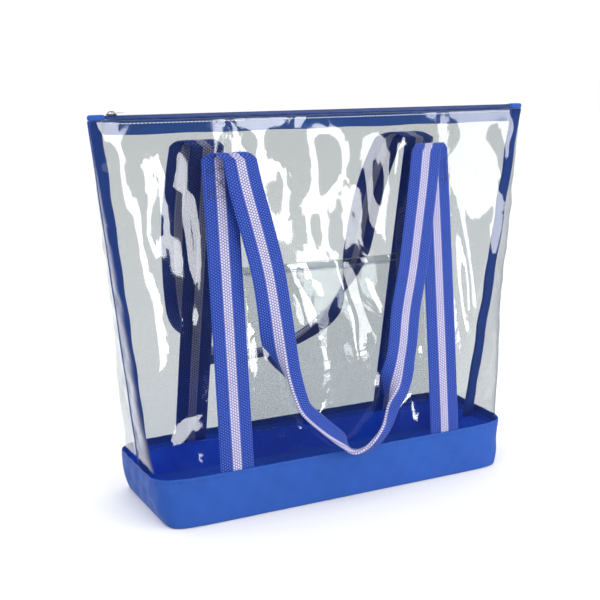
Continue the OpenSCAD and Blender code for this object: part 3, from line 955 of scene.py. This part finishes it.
def tab_rings(side):
    """Folded cloth over the zipper's end: its section is |y/a|^3 + |z/b|^3 = 1, narrowing outward, with
    a little pucker. Also its uv, in metres."""
    s = sizes()
    x = np.linspace(CHAIN_HALF - 0.0008, s.top_width / 2 + 0.0006, 22)
    t = np.linspace(-1, 1, 22)
    end = np.clip(1 - np.abs(t) ** 8, 0.02, 1) ** 0.5
    a = np.arange(32) / 32 * TAU
    ca, sa = np.cos(a), np.sin(a)
    r = (np.abs(ca) ** 3 + np.abs(sa) ** 3) ** (-1 / 3)
    wide = np.interp(t, [-1, 0, 1], [0.0036, 0.0036, 0.0027]) * end
    tall = 0.0030 * end
    pucker = 1 + 0.05 * np.sin(9 * t)[:, None] * np.abs(ca)[None]
    rings = np.stack([np.broadcast_to(side * x[:, None], (22, 32)),
                      wide[:, None] * (ca * r)[None] * pucker,
                      s.height + 0.0020 + tall[:, None] * (sa * r)[None]], axis=-1)
    return rings, np.stack(np.broadcast_arrays(a[None] * 0.003, x[:, None] - 0.25), axis=-1)


class BAG_OT_zipper(Operator):
    """Build the zipper's tapes, coils and end tabs"""
    bl_idname = "beach_bag.zipper"
    bl_label = "Zipper"

    def execute(self, context):
        s = sizes()
        tape = material("knitted_tape", tape_material, "knitted_tape", tuple(colours().zip_tape),
                        0.0012, 0.3, 0.68)
        coil = material("nylon_coil", coil_material)
        for name, side in (("front", FRONT), ("back", BACK)):
            x = np.linspace(-CHAIN_HALF, CHAIN_HALF, 240)[:, None]
            outer = np.maximum(0.0028, face_y(x, s.height, -0.0001))
            t = np.linspace(0, 1, 8)[None]
            y = outer + (0.0022 - outer) * t
            rise = s.height + 0.0005 + (CHAIN_RISE + 0.0002) * t ** 0.8
            z = rise + 0.00025 * np.sin(TAU * x / 0.031) * np.sin(math.pi * t)
            at = np.stack(np.broadcast_arrays(x, side * y, z), axis=-1)
            uv = np.stack(np.broadcast_arrays(y, x), axis=-1)
            faces = grid_faces(240, 8)
            piece = make_mesh(f"{name}_tape", at, faces if side == FRONT else faces[:, ::-1], uv)
            thicken(piece, 0.0007)
            finish_piece(piece, tape, BODY, "zipper_tape", f"{name}_zipper_tape")
            piece = closed_tube(f"{name}_coil", coil_rings(side))
            turn_outward(piece)
            finish_piece(piece, coil, BODY, "zipper_coil", f"{name}_zipper_coil")
        for name, side in (("left", LEFT), ("right", RIGHT)):
            piece = closed_tube(f"{name}_tab", *tab_rings(side))
            turn_outward(piece)
            finish_piece(piece, material("woven_cloth", cloth_material), BODY, "end_tab",
                         f"{name}_zipper_tab")
        return {"FINISHED"}


def rounded_plate(length, wide_near, wide_far, thick):
    """Rings of a plate: its outline is |x/a|^2.8 + |y/b|^2.8 = 1 with b running from near to far;
    its edge is rounded by drawing the rings in at the top and bottom."""
    a = np.arange(40) / 40 * TAU
    ca, sa = np.cos(a), np.sin(a)
    r = (np.abs(ca) ** 2.8 + np.abs(sa) ** 2.8) ** (-1 / 2.8)
    ux, uy = ca * r, sa * r
    wide = np.interp(ux, [-1, 1], [wide_near, wide_far])
    lift = np.array([-0.5, -0.5, -0.25, 0.25, 0.5, 0.5])
    draw = np.array([0.3, 0.88, 1.0, 1.0, 0.88, 0.3])
    return np.stack([ux[None] * draw[:, None] * length / 2,
                     uy[None] * draw[:, None] * wide[None] / 2,
                     np.broadcast_to(lift[:, None] * thick, (6, 40))], axis=-1)


def wire(line, radius_a, radius_b, up, around=12):
    """Rings of an oval wire along a line, radius_a along up and radius_b across it."""
    ahead = unit(np.gradient(line, axis=0))
    up = unit(up - (up * ahead).sum(1, keepdims=True) * ahead)
    side = np.cross(ahead, up)
    a = np.arange(around) / around * TAU
    return (line[:, None] + up[:, None] * np.cos(a)[None, :, None] * radius_a
            + side[:, None] * np.sin(a)[None, :, None] * radius_b)


def joined(name, parts):
    """One mesh from several closed tubes."""
    made = [closed_tube(f"{name}_{i}", rings) for i, rings in enumerate(parts)]
    points, quads, tris, count = [], [], [], 0
    for piece in made:
        turn_outward(piece)
        mesh = piece.data
        co = np.zeros(len(mesh.vertices) * 3, np.float32)
        mesh.vertices.foreach_get("co", co)
        points.append(co.reshape(-1, 3))
        for p in (4, 3):
            wanted = [tuple(f.vertices) for f in mesh.polygons if len(f.vertices) == p]
            (quads if p == 4 else tris).append(np.array(wanted, int) + count)
        count += len(mesh.vertices)
        bpy.data.objects.remove(piece)
    return make_mesh(name, np.concatenate(points), np.concatenate(quads), None, np.concatenate(tris))


class BAG_OT_slider(Operator):
    """Build the zipper's slider and its pull"""
    bl_idname = "beach_bag.slider"
    bl_label = "Slider and pull"

    def execute(self, context):
        c = colours()
        low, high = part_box("zipper_slider")
        pull_low, pull_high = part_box("zipper_pull")
        top_z, length = high.z - 0.0030 - 0.0006, high.x - low.x
        top = rounded_plate(length, 0.0058, 0.0078, 0.0013) + (SLIDER_X, 0, top_z)
        under = rounded_plate(length, 0.0034, 0.0042, 0.0011) + (SLIDER_X, 0, low.z + 0.0006)
        t = np.linspace(0, math.pi, 21)
        arch = np.stack([SLIDER_X - 0.0036 * np.cos(t), 0 * t,
                         top_z + 0.0004 + 0.0026 * np.sin(t) ** 0.7], axis=-1)
        crown = wire(arch, 0.00042, 0.0010, np.stack([-np.cos(t), 0 * t, np.sin(t)], axis=-1))
        post = rounded_plate(0.0018, 0.0008, 0.0008, top_z - low.z - 0.001)
        post = post + (SLIDER_X + 0.0034, 0, (top_z + low.z) / 2)
        body = joined("slider", [top, under, crown, post])
        finish_piece(body, material("slider_paint", metal_material, "slider_paint", tuple(c.slider),
                                    0.0, 0.22), "slider", "slider_metal", "zipper_slider")
        pin_z = (pull_low.z + pull_high.z) / 2
        reach = pull_high.x - SLIDER_X - 0.0005
        k = np.arange(49) / 48 * TAU
        ring = np.stack([SLIDER_X + reach / 2 - (reach / 2 - 0.0002) * np.cos(k),
                         0.0023 * np.sin(k) * (1 - 0.22 * (1 - np.cos(k)) / 2),
                         np.full(49, pin_z)], axis=-1)
        loop = wire(ring, 0.00048, 0.00062, np.broadcast_to(np.array([0.0, 0.0, 1.0]), ring.shape))
        tip = rounded_plate(0.0050, 0.0046, 0.0034, 0.0010) + (pull_high.x - 0.0026, 0, pin_z)
        pull = joined("pull", [loop, tip])
        finish_piece(pull, material("bright_metal", metal_material, "bright_metal", tuple(c.pull), 1.0,
                                    0.2), "pull", "pull_metal", "zipper_pull")
        return {"FINISHED"}


class BAG_OT_legs(Operator):
    """Build the four sewn legs of the handles and their box stitches"""
    bl_idname = "beach_bag.legs"
    bl_label = "Handle legs"

    def execute(self, context):
        s = sizes()
        dark = material("dark_thread", thread_material, "dark_thread", scaled(colours().thread, 0.3))
        for name, side, x, shift in LEGS:
            rings, uv = leg_rings(side, x, shift)
            leg = closed_tube(f"{name}_webbing_leg", rings, uv)
            turn_outward(leg)
            finish_piece(leg, webbing(), BODY, "webbing", f"{name}_leg")
            mid = LEG_TOP[side] - BOX_DROP
            k = np.linspace(-1, 1, 24)
            one = np.ones(24)
            runs = [(k, one), (k, -one), (one, k), (-one, k), (k, k), (k, -k)]
            lines = []
            for a, b in runs:
                px, pz = x + a * BOX_HALF, mid + b * BOX_HALF
                at = on_face(side, px, pz, LEG_IN + s.webbing_thickness + 0.0001)
                lines.append((at, np.broadcast_to(np.array([0.0, side, 0.1]), at.shape)))
            row = stitch_row(f"{name}_cross_stitching", lines, 0.0004, 0.0028, 0.0031)
            finish_piece(row, dark, BODY, "thread", f"{name}_box_stitch")
        return {"FINISHED"}


class BAG_OT_loops(Operator):
    """Build the free loops of the two handles"""
    bl_idname = "beach_bag.loops"
    bl_label = "Handle loops"

    def execute(self, context):
        for name, side, route in (("front", FRONT, FRONT_ROUTE), ("back", BACK, BACK_ROUTE)):
            rings, uv = loop_rings(side, route)
            loop = closed_tube(f"{name}_webbing_loop", rings, uv)
            turn_outward(loop)
            loop.data.materials.append(webbing())
            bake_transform(loop)
            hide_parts(f"{name}_handle_loop")
        return {"FINISHED"}


def pocket_stand(x, z):
    """How far the pocket stands out: a constant plus the gape times cos^2 across and rise^1.5 up."""
    rise = np.clip((z - POCKET_FROM) / (POCKET_TOP - POCKET_FROM), 0, None)
    across = np.clip(x / POCKET_HALF, -1, 1)
    return POCKET_OUT + POCKET_GAPE * np.cos(math.pi / 2 * across) ** 2 * rise ** 1.5


class BAG_OT_pocket(Operator):
    """Build the clear slip pocket with its folded hem and stitches"""
    bl_idname = "beach_bag.pocket"
    bl_label = "Slip pocket"

    def execute(self, context):
        s = sizes()
        columns = 130
        x = np.linspace(-0.1114, 0.1114, columns)[None]
        up = np.linspace(LEG_FOOT - 0.002, POCKET_TOP - 0.0006, 110)
        bend = np.linspace(0, math.pi, 6)[1:]
        down = np.linspace(POCKET_TOP - 0.0012, POCKET_TOP - 0.0095, 8)
        z = np.concatenate([up, POCKET_TOP - 0.0006 + 0.0006 * np.sin(bend), down])[:, None]
        out = np.concatenate([0 * up, 0.0005 * (1 - np.cos(bend)), np.full(8, 0.0010)])[:, None]
        xx, zz = np.broadcast_arrays(x, z)
        wave = film_wave(FRONT, xx, zz)
        own = 0.0011 * smoothstep((zz - 0.11) / 0.1) * np.cos(math.pi / 2 * xx / POCKET_HALF) * (
            np.sin(TAU * xx / 0.071 + 6 * zz) + 0.5 * np.sin(TAU * (xx + 0.5 * zz) / 0.037))
        stand = pocket_stand(xx, zz) + out + wave + np.maximum(own, -0.0008) * 0.8
        at = on_face(FRONT, xx, zz, stand)
        piece = make_mesh("clear_pocket", at, grid_faces(*xx.shape))
        thicken(piece, s.film_thickness)
        finish_piece(piece, film(), BODY, "film", "front_pocket")
        row = POCKET_TOP - 0.0070
        k = int(np.argmin(np.abs(z[:110, 0] - row)))
        line = at[k] + np.array([0, -0.0014, 0])
        stitches = stitch_row("pocket_hem_stitching",
                              [(line, np.broadcast_to(np.array([0.0, -1.0, 0.1]), line.shape))],
                              0.0004, 0.0034, 0.0039)
        finish_piece(stitches, thread(), BODY, "thread", "pocket_stitching")
        return {"FINISHED"}


class BAG_OT_hem(Operator):
    """Build the stitches round the hem of the base"""
    bl_idname = "beach_bag.hem"
    bl_label = "Hem stitches"

    def execute(self, context):
        z = sizes().rim_height - HEM_DROP
        q = np.linspace(0, TAU, 721)
        line = skin(q, z, BASE_GAP + BASE_T - 0.0002)
        out = unit(skin(q, z, BASE_GAP + BASE_T + 0.001) - line)
        row = stitch_row("hem_stitching", [(line, out)], 0.0003)
        finish_piece(row, thread(), BODY, "thread", "base_hem_stitching")
        return {"FINISHED"}


class BAG_OT_label(Operator):
    """Build the folded care label in the left seam"""
    bl_idname = "beach_bag.label"
    bl_label = "Care label"

    def execute(self, context):
        low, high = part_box("care_label")
        x = np.linspace(low.x, high.x, 24)[:, None]
        z = np.linspace(low.z, high.z, 14)[None]
        curl = 0.0022 * ((x - low.x) / (high.x - low.x)) ** 2
        y = (low.y + high.y) / 2 + curl + 0.0003 * np.sin(TAU * x / 0.013) * (z - low.z) / 0.013
        at = np.stack(np.broadcast_arrays(x, y, z), axis=-1)
        uv = np.stack(np.broadcast_arrays(x, z), axis=-1)
        piece = make_mesh("white_label", at, grid_faces(24, 14), uv)
        thicken(piece, 0.0004)
        finish_piece(piece, material("label_ribbon", label_material), BODY, "label", "care_label")
        return {"FINISHED"}


# ---- stage ----

def softbox(name, place, target, wide, tall, power):
    """A soft area light aimed at a point."""
    data = bpy.data.lights.new(name, "AREA")
    data.shape, data.size, data.size_y, data.energy = "RECTANGLE", wide, tall, power
    lamp = bpy.data.objects.new(name, data)
    lamp.location = place
    lamp.rotation_mode = "QUATERNION"
    lamp.rotation_quaternion = (Vector(target) - Vector(place)).to_track_quat("-Z", "Y")
    bpy.context.scene.collection.objects.link(lamp)


def world_light(scene):
    """A white room, bright overhead and behind the bag and dim on the camera's side: strength grows
    smoothly with 0.8 y + 0.9 z of the direction. Seen directly it is white all round."""
    world = bpy.data.worlds.new("studio")
    world.use_nodes = True
    tree = world.node_tree
    dot = tree.nodes.new("ShaderNodeVectorMath")
    dot.operation = "DOT_PRODUCT"
    dot.inputs[1].default_value = (0.0, 0.8, 0.9)
    tree.links.new(tree.nodes.new("ShaderNodeTexCoord").outputs["Generated"], dot.inputs[0])
    span = tree.nodes.new("ShaderNodeMapRange")
    span.interpolation_type = "SMOOTHSTEP"
    for key, value in ((1, -0.15), (2, 0.45), (3, 0.06), (4, 1.22)):
        span.inputs[key].default_value = value
    tree.links.new(dot.outputs["Value"], span.inputs[0])
    seen = tree.nodes.new("ShaderNodeMath")
    seen.operation = "MAXIMUM"
    tree.links.new(span.outputs[0], seen.inputs[0])
    tree.links.new(tree.nodes.new("ShaderNodeLightPath").outputs["Is Camera Ray"], seen.inputs[1])
    tree.links.new(seen.outputs[0], tree.nodes["Background"].inputs[1])
    tree.nodes["Background"].inputs[0].default_value = (1.0, 1.0, 1.0, 1)
    scene.world = world


class BAG_OT_stage(Operator):
    """Build the floor, the soft lights and the camera"""
    bl_idname = "beach_bag.stage"
    bl_label = "Studio"

    def execute(self, context):
        scene = context.scene
        scene.view_settings.view_transform = "Standard"
        scene.cycles.transparent_max_bounces = 24
        a = np.arange(96) / 96 * TAU
        r = np.array([0.3, 1.0, 3.0, 9.0])[:, None]
        points = np.stack(np.broadcast_arrays(r * np.cos(a)[None], r * np.sin(a)[None], -0.0002),
                          axis=-1)
        centre = np.array([[0, 0, -0.0002]])
        i = np.arange(96)
        fan = np.stack([np.full(96, 4 * 96), i, (i + 1) % 96], axis=-1)
        quads = grid_faces(4, 96, True)[:, ::-1]
        ground = make_mesh("floor", np.concatenate([points.reshape(-1, 3), centre]), quads, None, fan)
        ground.data.materials.append(floor_material())
        ground.visible_glossy = False

        world_light(scene)
        softbox("overhead", (0.1, 0.1, 2.3), AIM, 2.2, 2.2, 4)
        softbox("fill", (-1.7, -2.4, 1.6), AIM, 1.5, 1.5, 6)
        for name, place, wide, tall, power in BOXES:
            softbox(name, place, AIM, wide, tall, power)

        yaw, pitch, roll = (math.radians(v) for v in CAMERA_TURNS)
        ahead = Vector((math.sin(yaw) * math.cos(pitch), math.cos(yaw) * math.cos(pitch),
                        -math.sin(pitch)))
        level_right = Vector((math.cos(yaw), -math.sin(yaw), 0))
        level_up = level_right.cross(ahead)
        right = level_right * math.cos(roll) + level_up * math.sin(roll)
        up = right.cross(ahead)
        data = bpy.data.cameras.new("camera")
        data.lens, data.sensor_width, data.clip_start, data.clip_end = CAMERA_LENS, SENSOR, 0.05, 60
        camera = bpy.data.objects.new("camera", data)
        turn = Matrix((right, up, -ahead)).transposed().to_4x4()
        camera.matrix_world = Matrix.Translation(CAMERA_AT) @ turn
        scene.collection.objects.link(camera)
        scene.camera = camera
        return {"FINISHED"}


STEPS = (BAG_OT_stage, BAG_OT_base, BAG_OT_panels, BAG_OT_bindings, BAG_OT_facings, BAG_OT_zipper,
         BAG_OT_slider, BAG_OT_legs, BAG_OT_loops, BAG_OT_pocket, BAG_OT_hem, BAG_OT_label)


class BAG_PT_panel(Panel):
    """Buttons that build the bag, piece by piece"""
    bl_idname = "BAG_PT_panel"
    bl_label = "Beach Bag"
    bl_space_type = "VIEW_3D"
    bl_region_type = "UI"
    bl_category = "Beach Bag"

    def draw(self, context):
        for step in STEPS:
            self.layout.operator(step.bl_idname)
        for group in (sizes(), colours()):
            box = self.layout.box()
            for key in group.__annotations__:
                box.prop(group, key)


CLASSES = (BagSizes, BagColours, *STEPS, BAG_PT_panel)


def register():
    for item in CLASSES:
        bpy.utils.register_class(item)
    bpy.types.Scene.beach_bag_sizes = PointerProperty(type=BagSizes)
    bpy.types.Scene.beach_bag_colours = PointerProperty(type=BagColours)


def unregister():
    del bpy.types.Scene.beach_bag_colours
    del bpy.types.Scene.beach_bag_sizes
    for item in reversed(CLASSES):
        bpy.utils.unregister_class(item)


def main():
    """Builds the bag."""
    register()
    for step in STEPS:
        group, name = step.bl_idname.split(".")
        getattr(getattr(bpy.ops, group), name)()


if __name__ == "__main__":
    main()
